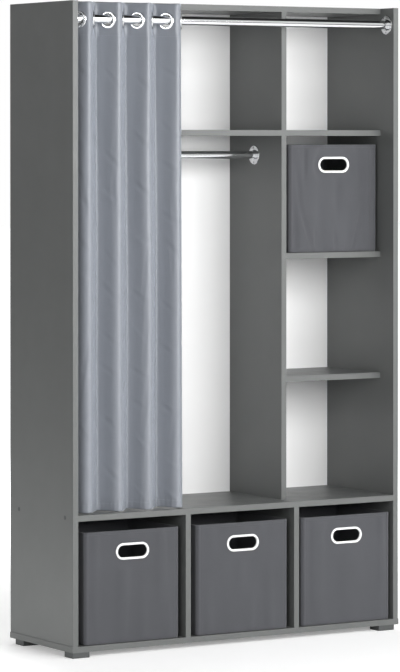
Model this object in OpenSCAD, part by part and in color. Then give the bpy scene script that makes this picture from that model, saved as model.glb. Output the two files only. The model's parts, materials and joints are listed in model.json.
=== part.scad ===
// Open wardrobe: a narrow shelf bay beside a wide hanging bay, three bin cubbies
// below, a curtain on a rod across the front and four fabric bins.
// Millimetres, +Z up, +Y to the back, origin on the floor at the middle of the plan.

/* [Carcass] */
// Width across the two side panels
cab_w = 1060; // [1040:5:1200]
// Depth of the side panels and the base
cab_d = 350; // [345:5:420]
// Height from the underside of the base to the top of the side panels
cab_h = 1749; // [1700:1:1900]
// Thickness of every board
board = 16; // [16:1:19]
// How far the base sticks out past each side panel
base_lip = 2; // [0.5:0.5:4]
// Clear height of the bottom row of cubbies
cubby_h = 336; // [330:1:380]
// Clear height of each of the three lower compartments in the right bay
row_h = 329; // [325:1:340]
// Clear width of the right bay
right_bay_w = 320; // [315:1:360]
// How far the top, upper divider and shelves stand back from the front
setback = 65; // [65:1:80]

/* [Back] */
// Thickness of the back panels
back_t = 3; // [2.5:0.5:4]
// Distance from the rear of the sides to the front face of the back panels
back_inset = 13.5; // [12:0.5:18]
// Depth of the grooves that hold the back panels
groove = 6; // [4:0.5:7]
// Width of the strip that joins the two back panels
strip_w = 24; // [16:1:40]
// Thickness of that strip
strip_t = 1.2; // [0.8:0.1:2]

/* [Feet] */
// Height of the feet
foot_h = 15; // [10:1:30]
// Width of a foot
foot_w = 52; // [40:1:60]
// Depth of a foot
foot_d = 46; // [36:1:60]
// Distance from the left end of the base to the left feet
foot_in_left = 1; // [0:1:20]
// Distance from the right end of the base to the right feet
foot_in_right = 15; // [0:1:20]
// Distance from the rear of the base to the rear feet
foot_in_rear = 30; // [10:1:60]

/* [Rods] */
// Diameter of the curtain rod
rod_d = 25; // [22:0.5:25]
// Distance from the front of the sides to the rod's centre line
rod_y_in = 34.5; // [33:0.5:36]
// Distance from the top of the sides down to the rod's centre line
rod_drop = 47.5; // [45:0.5:60]
// Diameter of the clothes rail
rail_d = 22; // [18:0.5:25]
// Distance from the front of the sides to the rail's centre line
rail_y_in = 205; // [160:1:230]
// Distance from the hat shelf down to the rail's centre line
rail_drop = 54; // [40:1:90]
// Wall of both tubes
tube_wall = 1.2; // [0.8:0.1:2]
// Outside diameter of the end flanges
flange_d = 54; // [50:0.5:58]
// How far a flange stands off its board
flange_h = 9; // [7:0.5:10]
// Thickness of a flange at its rim
flange_rim = 3; // [2.5:0.5:4]

/* [Curtain] */
// Number of rings in the curtain
ring_n = 8; // [8:1:8]
// Distance between neighbouring rings along the rod
ring_pitch = 45.8; // [44:0.2:50]
// Distance from the left side panel to the first ring's centre
ring_first = 21.5; // [21:0.5:30]
// Outside diameter of a ring
ring_d = 48; // [46:0.5:50]
// Bore of a ring
ring_bore = 32; // [32:0.5:33]
// Thickness of a ring
ring_t = 6; // [5:0.5:7]
// How far a ring hangs below the rod's centre line
ring_hang = 1.8; // [0:0.1:2]
// Angle of each ring to the rod, seen from above
fold_angle = 60; // [56:1:62]
// Thickness of the cloth
cloth_t = 1.2; // [0.8:0.1:1.6]
// Cloth beyond the centres of the end rings
cloth_end = 26; // [25:0.5:28]
// Distance from the top of the sides down to the cloth's top edge
cloth_top_gap = 2; // [1:0.5:10]
// Clearance between the hem and the middle shelf
hem_gap = 4; // [2:0.5:20]

/* [Bins] */
// Clearance beside a bin in the narrowest space that it fits
bin_gap = 11; // [8:0.5:20]
// Clearance above a bin in the lowest space that it fits
bin_head = 25; // [17:1:50]
// Clearance behind a bin in the shallowest space that it fits
bin_rear = 4.5; // [3:0.5:25]
// Wall of a bin, card between two layers of cloth
bin_wall = 2.5; // [2:0.5:4]
// How far a bin stands back from the edge of its shelf
bin_in = 5; // [4:0.5:12]
// How far a bin stands to the right of the middle of its space
bin_aside = 2; // [0:0.5:4]
// Width of the handle ring
handle_w = 104; // [100:1:120]
// Height of the handle ring
handle_h = 45; // [44:1:56]
// Width of the handle ring's rim
handle_rim = 6; // [5.5:0.5:9]
// How far the handle ring stands off the bin
handle_t = 2.5; // [1.5:0.5:3.5]
// Distance from the bin's top edge down to the handle's centre
handle_drop = 57; // [50:1:70]
// Thickness of the loose board in the bottom of a bin
insert_t = 3; // [2:0.5:5]

/* [Fasteners] */
// Distance from the front and rear of a shelf to its dowels
shelf_dowel_in = 30; // [25:1:40]
// Distance from the front and rear of a shelf to its cams
shelf_cam_in = 60; // [55:1:80]
// How far the right bay's fasteners are moved along, clear of the left bay's in the same divider
bay_shift = 14; // [12:1:18]
// Distance from the front of the sides to the front screws of the middle shelf
side_screw_front = 44; // [40:1:55]
// Distance from the rear of the sides to the rear screws of the middle shelf
side_screw_rear = 49; // [45:1:60]
// Distance from the front of the sides to the front dowels of the middle shelf
side_dowel_front = 90; // [80:1:110]
// Distance from the rear of the sides to the rear dowels of the middle shelf
side_dowel_rear = 95; // [85:1:110]
// Distance from the front of the base to its front screws
base_screw_front = 70; // [65:1:85]
// Distance from the rear of the base to its rear screws
base_screw_rear = 100; // [90:1:115]
// Distance from the front of the base to its front dowels
base_dowel_front = 110; // [100:1:125]
// Distance from the rear of the base to its rear dowels
base_dowel_rear = 140; // [130:1:150]
// Distance from the front of the middle shelf to the front dowels under it
low_dowel_front = 60; // [55:1:75]
// Distance from the rear of the sides to the rear dowels under the middle shelf
low_dowel_rear = 80; // [70:1:85]
// Distance from the front of the upper divider to its front dowels
up_dowel_front = 45; // [40:1:55]
// Distance from the back panels to the upper divider's rear dowels
up_dowel_rear = 90; // [85:1:100]
// Diameter of the wooden dowels
dowel_d = 8; // [6:1:8]
// Depth of a dowel in the face of a board
dowel_face = 10; // [8:0.5:11]
// Depth of a dowel in the end of a board
dowel_end = 20; // [15:1:25]
// Diameter of the cam locks
cam_d = 15; // [12:1:15]
// Depth of the cam locks
cam_h = 12.5; // [12:0.5:13]
// Distance from a board's end to the cam's centre
cam_in = 24; // [22:1:34]
// Diameter of the cam bolts
bolt_d = 6; // [5:0.5:6]
// Diameter of the long board screws
screw_d = 7; // [5:0.5:7]
// Length of the long board screws
screw_len = 50; // [40:1:60]
// Diameter of the small fixing screws
small_d = 3.5; // [3:0.5:4]
// Length of the small fixing screws
small_len = 14; // [12:1:15]
// Diameter of the screw cover caps
cap_d = 12; // [11:1:14]
// How far a cover cap stands proud
cap_proud = 0.4; // [0.2:0.1:1]
// Clearance around every fastener in its bore
fit = 0.1; // [0.05:0.05:0.2]
// Clearance between a soft piece and its neighbour
soft = 0.3; // [0.2:0.1:0.5]

/* [Hidden] */
$fn = 48;

// Faces of the carcass
x_left = -cab_w / 2;
x_right = cab_w / 2;
x_in_left = x_left + board;
x_in_right = x_right - board;
y_front = -cab_d / 2;
y_rear = cab_d / 2;
y_set = y_front + setback;
y_back = y_rear - back_inset;
z_base_top = foot_h + board;
z_mid = z_base_top + cubby_h;
z_mid_top = z_mid + board;
z_roof = foot_h + cab_h;
z_top = z_roof - board;

// Undersides of the right bay's shelves, lowest first; the hat shelf is in line with the highest
shelf_z = [for (i = [1:3]) z_mid_top + i * row_h + (i - 1) * board];
hat_z = shelf_z[2];

// Left faces of the dividers; the upper one stands over the right lower one
div_x = x_in_right - right_bay_w - board;
low_div_x = (x_in_left + div_x - board) / 2;
low_bay_w = low_div_x - x_in_left;

// The curtain rod and the clothes rail
rod_y = y_front + rod_y_in;
rod_z = z_roof - rod_drop;
rail_y = y_front + rail_y_in;
rail_z = hat_z - rail_drop;
socket_floor = 2.5;
collar_wall = 3;
small_head_d = 2 * small_d;
small_head_h = 2;
flange_screw_r = (flange_d + 2 * collar_wall + rod_d) / 4;

// The folds of the curtain, as straight flanks at the rings and round bends between them
ring_x0 = x_in_left + ring_first;
ring_z = rod_z - ring_hang;
bend_r = (ring_pitch - ring_d * cos(fold_angle)) / (2 * sin(fold_angle));
bend_y = ring_d / 2 * sin(fold_angle) - bend_r * cos(fold_angle);
bend_steps = 8;
ring_hub = 2;
cloth_hole_d = ring_bore + 2 * ring_hub + 2 * soft;
z_cloth_top = z_roof - cloth_top_gap;
z_hem = z_mid_top + hem_gap;

// One size of bin fits every space
bin_w = min(right_bay_w, low_bay_w) - 2 * bin_gap;
bin_h = min(cubby_h, row_h) - bin_head;
bin_d = y_back - y_set - bin_in - bin_rear;

cubby_mid = [
    (x_in_left + low_div_x) / 2,
    (low_div_x + board + div_x) / 2,
    (div_x + board + x_in_right) / 2
];

// Where the bins stand: the middle of each one's front, at its foot
low_bin = [for (x = cubby_mid) [x + bin_aside, y_front + bin_in, z_base_top + soft]];
up_bin = [cubby_mid[2] + bin_aside, y_set + bin_in, shelf_z[1] + board + soft];
handle_hub = 1.8;
clip_t = 1.5;
clip_rim = 5;
open_w = handle_w - 2 * handle_rim;
open_h = handle_h - 2 * handle_rim;
hub_w = open_w + 2 * handle_hub;
hub_h = open_h + 2 * handle_hub;

// Fastener places along the depth
dowel_ys = [y_set + shelf_dowel_in, y_back - shelf_dowel_in];
cam_ys = [y_set + shelf_cam_in, y_back - shelf_cam_in];
side_screw_ys = [y_front + side_screw_front, y_rear - side_screw_rear];
side_dowel_ys = [y_front + side_dowel_front, y_rear - side_dowel_rear];
base_screw_ys = [y_front + base_screw_front, y_rear - base_screw_rear];
base_dowel_ys = [y_front + base_dowel_front, y_rear - base_dowel_rear];
low_top_dowel_ys = [y_front + low_dowel_front, y_rear - low_dowel_rear];
divider_dowel_ys = [y_set + up_dowel_front, y_back - up_dowel_rear];
screw_head_d = screw_d + 3;
screw_head_h = 4;
cap_in = 2;
bolt_face = 11;
bolt_head_d = bolt_d + 1.4;
bolt_head_h = 3;
bolt_thread_d = bolt_d - 1;
cam_slot_d = bolt_head_d + 0.8;
bolt_bore_d = bolt_d + 2;
cross_w = 1.6;
cross_len = 9;
cross_depth = 2.5;
foot_screw_in = 4;
foot_screw_len = foot_h + board / 2 - foot_screw_in;
strip_web = 2;
strip_x = div_x + board / 2;
// How far a cut runs past the face that it opens in
cut = 1;

// Board ends that meet an upright: [plane x, direction into the upright, mid-height, shift along y]
end_top = [[x_in_left, -1, z_top + board / 2, 0], [x_in_right, 1, z_top + board / 2, 0]];
end_hat = [[x_in_left, -1, hat_z + board / 2, 0], [div_x, 1, hat_z + board / 2, 0]];
end_shelf = [for (i = [0:2], s = [-1, 1])
    [s < 0 ? div_x + board : x_in_right, s, shelf_z[i] + board / 2, bay_shift]];
end_mid = [[x_in_left, -1, z_mid + board / 2, 0], [x_in_right, 1, z_mid + board / 2, 0]];
cam_ends = concat(end_top, end_hat, end_shelf);

// Uprights that stand on a board: [mid x, plane z, direction into the board, list of y]
low_x = [low_div_x + board / 2, div_x + board / 2];
base_x = concat([x_left + board / 2, x_right - board / 2], low_x);
stand_base = [for (x = base_x) [x, z_base_top, -1, base_dowel_ys]];
stand_low = [for (x = low_x) [x, z_mid, 1, low_top_dowel_ys]];
stand_up = [
    [div_x + board / 2, z_mid_top, -1, divider_dowel_ys],
    [div_x + board / 2, z_top, 1, divider_dowel_ys]
];
dowel_stands = concat(stand_base, stand_low, stand_up);

// Feet: [left face, front face]
foot_xs = [x_left - base_lip + foot_in_left, x_right + base_lip - foot_in_right - foot_w];
foot_ys = [y_front, y_rear - foot_in_rear - foot_d];

// Flanges: [plane x, direction off the board, y, z, tube diameter]
rod_ends = [[x_in_left, 1, rod_y, rod_z, rod_d], [x_in_right, -1, rod_y, rod_z, rod_d]];
rail_ends = [[x_in_left, 1, rail_y, rail_z, rail_d], [div_x, -1, rail_y, rail_z, rail_d]];

// A box between two corners
module span_box(low, high) translate(low) cube(high - low);

// A cylinder along +X or -X that starts at a point
module rod_x(start, dir, len, d) translate(start) rotate([0, dir * 90, 0]) cylinder(h = len, d = d);

// ---------- fasteners, grown by a clearance where they cut their own bores ----------

module dowels_in_ends(ends, ys, grow = 0)
    for (e = ends, y = ys)
        rod_x([e[0] + e[1] * (dowel_face + grow), y + e[3], e[2]], -e[1],
            dowel_face + dowel_end + 2 * grow, dowel_d + 2 * grow);

module dowels_in_stands(stands, grow = 0)
    for (s = stands, y = s[3])
        translate([s[0], y, s[1] + s[2] * (dowel_face - dowel_end) / 2])
            cylinder(h = dowel_face + dowel_end + 2 * grow, d = dowel_d + 2 * grow, center = true);

module cam_bores(ends)
    for (e = ends, y = cam_ys) {
        translate([e[0] - e[1] * cam_in, y + e[3], e[2] - board / 2 - cut])
            cylinder(h = cam_h + cut, d = cam_d + 2 * fit);
        rod_x([e[0] + e[1] * cut, y + e[3], e[2]], -e[1], cam_in + cut, bolt_bore_d);
    }

module bolt_holes(ends)
    for (e = ends, y = cam_ys)
        rod_x([e[0] - e[1] * cut, y + e[3], e[2]], e[1],
            bolt_face + fit + cut, bolt_thread_d + 2 * fit);

// A long screw with its head at the origin, along +Z
module long_screw(grow = 0) {
    translate([0, 0, -grow]) cylinder(h = screw_head_h + 2 * grow, d = screw_head_d + 2 * grow);
    cylinder(h = screw_len + grow, d = screw_d + 2 * grow);
}

module side_screws(grow = 0)
    for (s = [-1, 1], y = side_screw_ys)
        translate([s * (x_right - cap_in), y, z_mid + board / 2])
            rotate([0, -s * 90, 0]) long_screw(grow);

module base_screws(grow = 0)
    for (x = base_x, y = base_screw_ys)
        translate([x, y, foot_h]) long_screw(grow);

module cap_recesses()
    for (s = [-1, 1], y = side_screw_ys)
        rod_x([s * (x_right + cut), y, z_mid + board / 2], -s, cap_in + cut, cap_d + 2 * fit);

// A small flat-headed screw with its head at the origin, along +Z
module small_screw(len, grow = 0) {
    translate([0, 0, -grow]) cylinder(h = small_head_h + grow, d = small_head_d + 2 * grow);
    cylinder(h = len + grow, d = small_d + 2 * grow);
}

module flange_screws_at(ends, grow = 0)
    for (e = ends, k = [-1, 1])
        translate([e[0] + e[1] * flange_rim, e[2], e[3] + k * flange_screw_r])
            rotate([0, -e[1] * 90, 0]) small_screw(small_len, grow);

module foot_screw_at(x, y, grow = 0)
    translate([x + foot_w / 2, y + foot_d / 2, foot_screw_in]) small_screw(foot_screw_len, grow);

module foot_screws_all(grow = 0)
    for (x = foot_xs, y = foot_ys) foot_screw_at(x, y, grow);

// ---------- boards ----------

// The space of the back panels and their grooves
module back_groove()
    span_box([x_in_left - groove, y_back, z_base_top - groove],
        [x_in_right + groove, y_back + back_t + 2 * fit, z_top + groove]);

module base_board() color("dimgray") difference() {
    span_box([x_left - base_lip, y_front, foot_h], [x_right + base_lip, y_rear, z_base_top]);
    back_groove();
    dowels_in_stands(stand_base, fit);
    base_screws(fit);
    foot_screws_all(fit);
}

module left_side_panel() color("dimgray") difference() {
    span_box([x_left, y_front, z_base_top], [x_in_left, y_rear, z_roof]);
    back_groove();
    dowels_in_ends([end_top[0], end_hat[0]], dowel_ys, fit);
    dowels_in_ends([end_mid[0]], side_dowel_ys, fit);
    dowels_in_stands([stand_base[0]], fit);
    bolt_holes([end_top[0], end_hat[0]]);
    side_screws(fit);
    base_screws(fit);
    cap_recesses();
    flange_screws_at([rod_ends[0], rail_ends[0]], fit);
}

module right_side_panel() color("dimgray") difference() {
    span_box([x_in_right, y_front, z_base_top], [x_right, y_rear, z_roof]);
    back_groove();
    dowels_in_ends([end_top[1]], dowel_ys, fit);
    dowels_in_ends([end_shelf[1], end_shelf[3], end_shelf[5]], dowel_ys, fit);
    dowels_in_ends([end_mid[1]], side_dowel_ys, fit);
    dowels_in_stands([stand_base[1]], fit);
    bolt_holes([end_top[1], end_shelf[1], end_shelf[3], end_shelf[5]]);
    side_screws(fit);
    base_screws(fit);
    cap_recesses();
    flange_screws_at([rod_ends[1]], fit);
}

module top_panel() color("dimgray") difference() {
    span_box([x_in_left, y_set, z_top], [x_in_right, y_rear, z_roof]);
    back_groove();
    dowels_in_ends(end_top, dowel_ys, fit);
    dowels_in_stands([stand_up[1]], fit);
    cam_bores(end_top);
}

module middle_shelf() color("dimgray") difference() {
    span_box([x_in_left, y_front, z_mid], [x_in_right, y_back, z_mid_top]);
    dowels_in_ends(end_mid, side_dowel_ys, fit);
    dowels_in_stands(concat(stand_low, [stand_up[0]]), fit);
    side_screws(fit);
}

module lower_divider(i, x) color("dimgray") difference() {
    span_box([x, y_front, z_base_top], [x + board, y_back, z_mid]);
    dowels_in_stands([stand_base[2 + i], stand_low[i]], fit);
    base_screws(fit);
}

module lower_divider_left() lower_divider(0, low_div_x);
module lower_divider_right() lower_divider(1, div_x);

module upper_divider() color("dimgray") difference() {
    span_box([div_x, y_set, z_mid_top], [div_x + board, y_back, z_top]);
    dowels_in_ends([end_hat[1]], dowel_ys, fit);
    dowels_in_ends([end_shelf[0], end_shelf[2], end_shelf[4]], dowel_ys, fit);
    dowels_in_stands(stand_up, fit);
    bolt_holes([end_hat[1], end_shelf[0], end_shelf[2], end_shelf[4]]);
    flange_screws_at([rail_ends[1]], fit);
}

module hat_shelf() color("dimgray") difference() {
    span_box([x_in_left, y_set, hat_z], [div_x, y_back, hat_z + board]);
    dowels_in_ends(end_hat, dowel_ys, fit);
    cam_bores(end_hat);
}

module right_shelf(i) color("dimgray") difference() {
    ends = [end_shelf[2 * i], end_shelf[2 * i + 1]];
    span_box([div_x + board, y_set, shelf_z[i]], [x_in_right, y_back, shelf_z[i] + board]);
    dowels_in_ends(ends, dowel_ys, fit);
    cam_bores(ends);
}

module right_shelf_bottom() right_shelf(0);
module right_shelf_middle() right_shelf(1);
module right_shelf_top() right_shelf(2);

// ---------- back ----------

module back_panel(x0, x1) color("white")
    span_box([x0, y_back, z_base_top - groove + soft], [x1, y_back + back_t, z_top + groove - soft]);

module back_panel_left() back_panel(x_in_left - groove + soft, strip_x - strip_web / 2);
module back_panel_right() back_panel(strip_x + strip_web / 2, x_in_right + groove - soft);

module back_joining_strip() color("white") {
    y_face = y_back + back_t;
    low = z_base_top + soft;
    high = z_top - soft;
    span_box([strip_x - strip_web / 2, y_back, low], [strip_x + strip_web / 2, y_face, high]);
    span_box([strip_x - strip_w / 2, y_face, low], [strip_x + strip_w / 2, y_face + strip_t, high]);
}

// ---------- feet ----------

module foot(x, y) color("dimgray") difference() {
    span_box([x, y, 0], [x + foot_w, y + foot_d, foot_h]);
    foot_screw_at(x, y, fit);
    translate([x + foot_w / 2, y + foot_d / 2, -cut])
        cylinder(h = foot_screw_in + cut, d = small_head_d + 2 * fit);
}

module foot_front_left() foot(foot_xs[0], foot_ys[0]);
module foot_front_right() foot(foot_xs[1], foot_ys[0]);
module foot_rear_left() foot(foot_xs[0], foot_ys[1]);
module foot_rear_right() foot(foot_xs[1], foot_ys[1]);

// ---------- rods and flanges ----------

module tube_between(ends) color("silver") {
    x0 = ends[0][0] + socket_floor;
    len = ends[1][0] - socket_floor - x0;
    difference() {
        rod_x([x0, ends[0][2], ends[0][3]], 1, len, ends[0][4]);
        rod_x([x0 - cut, ends[0][2], ends[0][3]], 1, len + 2 * cut, ends[0][4] - 2 * tube_wall);
    }
}

module curtain_rod() tube_between(rod_ends);
module clothes_rail() tube_between(rail_ends);

// A flange with a socket for the tube's end: a flat rim, a cone and a collar
module flange(e) color("silver") {
    collar_r = e[4] / 2 + fit + collar_wall;
    bore_r = e[4] / 2 + fit;
    edge = 1;
    difference() {
        translate([e[0], e[2], e[3]]) rotate([0, e[1] * 90, 0]) difference() {
            rotate_extrude() polygon([
                [0, 0], [flange_d / 2, 0],
                [flange_d / 2, flange_rim - edge], [flange_d / 2 - edge, flange_rim],
                [collar_r + edge, flange_rim], [collar_r, flange_rim + edge],
                [collar_r, flange_h - edge], [collar_r - edge, flange_h], [0, flange_h]
            ]);
            translate([0, 0, socket_floor]) cylinder(h = flange_h, r = bore_r);
        }
        flange_screws_at([e], fit);
    }
}

module curtain_rod_flange_left() flange(rod_ends[0]);
module curtain_rod_flange_right() flange(rod_ends[1]);
module clothes_rail_flange_left() flange(rail_ends[0]);
module clothes_rail_flange_right() flange(rail_ends[1]);

// ---------- fastener groups ----------

module wood_dowels() color("burlywood") {
    dowels_in_ends(concat(end_top, end_hat, end_shelf), dowel_ys);
    dowels_in_ends(end_mid, side_dowel_ys);
    dowels_in_stands(dowel_stands);
}

module cam_locks() color("lightgray") {
    for (e = cam_ends, y = cam_ys)
        translate([e[0] - e[1] * cam_in, y + e[3], e[2] - board / 2]) difference() {
            cylinder(h = cam_h - fit, d = cam_d);
            rod_x([-e[1] * bolt_head_h / 2, 0, board / 2], e[1], cam_d, cam_slot_d);
            for (turn = [0, 90]) rotate([0, 0, turn])
                translate([-cross_len / 2, -cross_w / 2, -cut])
                    cube([cross_len, cross_w, cross_depth + cut]);
        }
}

module cam_bolts() color("silver")
    for (e = cam_ends, y = cam_ys) {
        rod_x([e[0], y + e[3], e[2]], e[1], bolt_face, bolt_thread_d);
        rod_x([e[0], y + e[3], e[2]], -e[1], cam_in, bolt_d);
        rod_x([e[0] - e[1] * (cam_in - bolt_head_h), y + e[3], e[2]], -e[1], bolt_head_h, bolt_head_d);
    }

module board_screws() color("silver") {
    side_screws();
    base_screws();
}

module screw_caps() color("dimgray")
    for (s = [-1, 1], y = side_screw_ys)
        rod_x([s * (x_right + cap_proud), y, z_mid + board / 2], -s, cap_in - fit + cap_proud, cap_d);

module flange_screws() color("silver") flange_screws_at(concat(rod_ends, rail_ends));
module foot_screws() color("silver") foot_screws_all();

// ---------- curtain ----------

// Points round one bend, offset from the cloth's middle by off towards the front
function bend_points(k, off) =
    let (front = k % 2 == 0, side = front ? -1 : 1, r = bend_r - side * off)
    [for (i = [0:bend_steps]) let (a = fold_angle * (2 * i / bend_steps - 1))
        [ring_x0 + (k + 0.5) * ring_pitch + r * sin(a), rod_y + side * (bend_y + r * cos(a))]];

// One free end of the cloth: the first (sign -1) or the last (sign 1)
function end_point(k, sign, off) =
    let (turn = k % 2 == 0 ? -1 : 1)
    [ring_x0 + k * ring_pitch + sign * cloth_end * cos(fold_angle) + turn * off * sin(fold_angle),
     rod_y + turn * sign * cloth_end * sin(fold_angle) - off * cos(fold_angle)];

// One face of the cloth, seen from above
function cloth_side(off) = concat(
    [end_point(0, -1, off)],
    [for (k = [0:ring_n - 2]) each bend_points(k, off)],
    [end_point(ring_n - 1, 1, off)]);

function reversed(v) = [for (i = [len(v) - 1:-1:0]) v[i]];

module at_ring(k)
    translate([ring_x0 + k * ring_pitch, rod_y, ring_z])
        rotate([0, 0, k % 2 == 0 ? -fold_angle : fold_angle]) rotate([90, 0, 0]) children();

module curtain_cloth() color("slategray") difference() {
    translate([0, 0, z_hem]) linear_extrude(height = z_cloth_top - z_hem)
        polygon(concat(cloth_side(cloth_t / 2), reversed(cloth_side(-cloth_t / 2))));
    for (k = [0:ring_n - 1])
        at_ring(k) cylinder(h = 4 * cloth_t, d = cloth_hole_d, center = true);
}

// A grommet: a round-edged ring with a groove that grips the cloth
module curtain_ring(k) color("silver") at_ring(k) rotate_extrude() difference() {
    edge_r = ring_t / 2;
    union() {
        translate([ring_bore / 2 + edge_r, 0]) circle(r = edge_r);
        translate([ring_d / 2 - edge_r, 0]) circle(r = edge_r);
        translate([ring_bore / 2 + edge_r, -edge_r])
            square([(ring_d - ring_bore) / 2 - ring_t, ring_t]);
    }
    translate([ring_bore / 2 + ring_hub, -cloth_t / 2 - soft]) square([ring_d, cloth_t + 2 * soft]);
}

// ---------- bins ----------

// A shape with straight sides and half-round ends, standing in the XZ plane
module slot_shape(w, h, t) rotate([90, 0, 0]) translate([0, 0, -t]) linear_extrude(height = t) {
    square([w - h, h], center = true);
    for (s = [-1, 1]) translate([s * (w - h) / 2, 0]) circle(d = h);
}

module bin_shell(p) color("dimgray") translate(p) difference() {
    translate([-bin_w / 2, 0, 0]) cube([bin_w, bin_d, bin_h]);
    translate([bin_wall - bin_w / 2, bin_wall, bin_wall])
        cube([bin_w - 2 * bin_wall, bin_d - 2 * bin_wall, bin_h]);
    translate([0, -cut, bin_h - handle_drop])
        slot_shape(hub_w + 2 * fit, hub_h + 2 * fit, bin_wall + 2 * cut);
}

module bin_insert(p) color("gray") translate(p)
    translate([bin_wall + soft - bin_w / 2, bin_wall + soft, bin_wall])
        cube([bin_w - 2 * (bin_wall + soft), bin_d - 2 * (bin_wall + soft), insert_t]);

module bin_handle(p) color("white") translate(p + [0, 0, bin_h - handle_drop]) difference() {
    union() {
        translate([0, -handle_t, 0]) slot_shape(handle_w, handle_h, handle_t);
        slot_shape(hub_w, hub_h, bin_wall + clip_t);
    }
    translate([0, -handle_t - cut, 0])
        slot_shape(open_w, open_h, handle_t + bin_wall + clip_t + 2 * cut);
}

module bin_handle_clip(p) color("white")
    translate(p + [0, bin_wall, bin_h - handle_drop]) difference() {
    slot_shape(hub_w + 2 * clip_rim, hub_h + 2 * clip_rim, clip_t);
    translate([0, -cut, 0]) slot_shape(hub_w + 2 * fit, hub_h + 2 * fit, clip_t + 2 * cut);
}

base_board();
left_side_panel();
right_side_panel();
top_panel();
middle_shelf();
lower_divider_left();
lower_divider_right();
upper_divider();
hat_shelf();
right_shelf_bottom();
right_shelf_middle();
right_shelf_top();
back_panel_left();
back_panel_right();
back_joining_strip();
foot_front_left();
foot_front_right();
foot_rear_left();
foot_rear_right();
curtain_rod();
curtain_rod_flange_left();
curtain_rod_flange_right();
clothes_rail();
clothes_rail_flange_left();
clothes_rail_flange_right();
wood_dowels();
cam_locks();
cam_bolts();
board_screws();
screw_caps();
flange_screws();
foot_screws();
curtain_cloth();
curtain_ring(0);  // curtain_ring_1
curtain_ring(1);  // curtain_ring_2
curtain_ring(2);  // curtain_ring_3
curtain_ring(3);  // curtain_ring_4
curtain_ring(4);  // curtain_ring_5
curtain_ring(5);  // curtain_ring_6
curtain_ring(6);  // curtain_ring_7
curtain_ring(7);  // curtain_ring_8
bin_shell(low_bin[0]);  // bin_left_shell
bin_insert(low_bin[0]);  // bin_left_insert
bin_handle(low_bin[0]);  // bin_left_handle
bin_handle_clip(low_bin[0]);  // bin_left_handle_clip
bin_shell(low_bin[1]);  // bin_middle_shell
bin_insert(low_bin[1]);  // bin_middle_insert
bin_handle(low_bin[1]);  // bin_middle_handle
bin_handle_clip(low_bin[1]);  // bin_middle_handle_clip
bin_shell(low_bin[2]);  // bin_right_shell
bin_insert(low_bin[2]);  // bin_right_insert
bin_handle(low_bin[2]);  // bin_right_handle
bin_handle_clip(low_bin[2]);  // bin_right_handle_clip
bin_shell(up_bin);  // bin_upper_shell
bin_insert(up_bin);  // bin_upper_insert
bin_handle(up_bin);  // bin_upper_handle
bin_handle_clip(up_bin);  // bin_upper_handle_clip
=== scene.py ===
"""Looks of an open wardrobe with a curtain and four fabric bins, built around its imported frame.

Metres, +Z up, +Y to the back, origin on the floor at the middle of the plan.
"""

import json
import math

import bpy
import numpy as np
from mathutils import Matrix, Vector


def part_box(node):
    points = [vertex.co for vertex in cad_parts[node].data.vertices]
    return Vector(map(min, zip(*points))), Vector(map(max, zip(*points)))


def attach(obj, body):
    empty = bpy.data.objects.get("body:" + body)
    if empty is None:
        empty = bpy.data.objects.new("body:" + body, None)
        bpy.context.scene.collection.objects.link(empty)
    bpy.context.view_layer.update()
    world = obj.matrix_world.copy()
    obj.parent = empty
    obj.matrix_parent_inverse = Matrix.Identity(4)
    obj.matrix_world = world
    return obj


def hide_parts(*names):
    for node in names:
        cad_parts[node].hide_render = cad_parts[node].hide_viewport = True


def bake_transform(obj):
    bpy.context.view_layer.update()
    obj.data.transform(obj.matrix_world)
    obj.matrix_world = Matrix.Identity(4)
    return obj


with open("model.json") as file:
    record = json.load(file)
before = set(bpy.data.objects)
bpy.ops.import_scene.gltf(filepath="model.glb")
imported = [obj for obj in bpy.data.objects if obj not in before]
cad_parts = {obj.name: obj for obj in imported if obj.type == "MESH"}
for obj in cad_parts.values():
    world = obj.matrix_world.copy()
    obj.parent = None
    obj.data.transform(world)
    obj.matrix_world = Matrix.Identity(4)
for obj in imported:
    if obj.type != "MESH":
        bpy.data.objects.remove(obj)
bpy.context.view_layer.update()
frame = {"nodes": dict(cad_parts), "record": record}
nodes = frame["nodes"]
MM = 0.001


# ---- camera, light and floor ----

# The picture's height and the focal length in pixels, the sensor's longer side in millimetres,
# and how near and how far the camera sees
PHOTO_H, FOCAL_PX, SENSOR = 672, 3433.7, 36.0
SEEN_FROM, SEEN_TO = 0.1, 100
# The camera's place, and how far it turns right from looking straight to the back
CAMERA_AT = Vector((-5.0687, -8.1605, 1.3886))
CAMERA_TURN = math.radians(31.732)
# The camera looks a little down; its lens is shifted for the rest, by this share of the height
CAMERA_TILT = math.radians(0.794)
LENS_SHIFT = -0.22


def placed(name, data):
    """A new object with its data, linked into the scene."""
    made = bpy.data.objects.new(name, data)
    bpy.context.scene.collection.objects.link(made)
    return made


def make_camera():
    """The photograph's view, through a long lens."""
    data = bpy.data.cameras.new("camera")
    data.sensor_width = SENSOR
    data.lens = FOCAL_PX / PHOTO_H * SENSOR
    data.shift_y = LENS_SHIFT
    data.clip_start = SEEN_FROM
    data.clip_end = SEEN_TO
    camera = placed("camera", data)
    camera.location = CAMERA_AT
    camera.rotation_euler = (math.pi / 2 - CAMERA_TILT, 0, -CAMERA_TURN)
    bpy.context.scene.camera = camera


def area_light(name, at, aim, width, height, watts, mirrored):
    """A soft box that looks at a point; mirrored says whether shiny surfaces show it."""
    data = bpy.data.lights.new(name, "AREA")
    data.shape = "RECTANGLE"
    data.size = width
    data.size_y = height
    data.energy = watts
    lamp = placed(name, data)
    lamp.location = at
    lamp.rotation_euler = (Vector(aim) - Vector(at)).to_track_quat("-Z", "Y").to_euler()
    lamp.visible_camera = False
    lamp.visible_glossy = mirrored


# How brightly the surround lights the object
WORLD_LEVEL = 0.08
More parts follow.
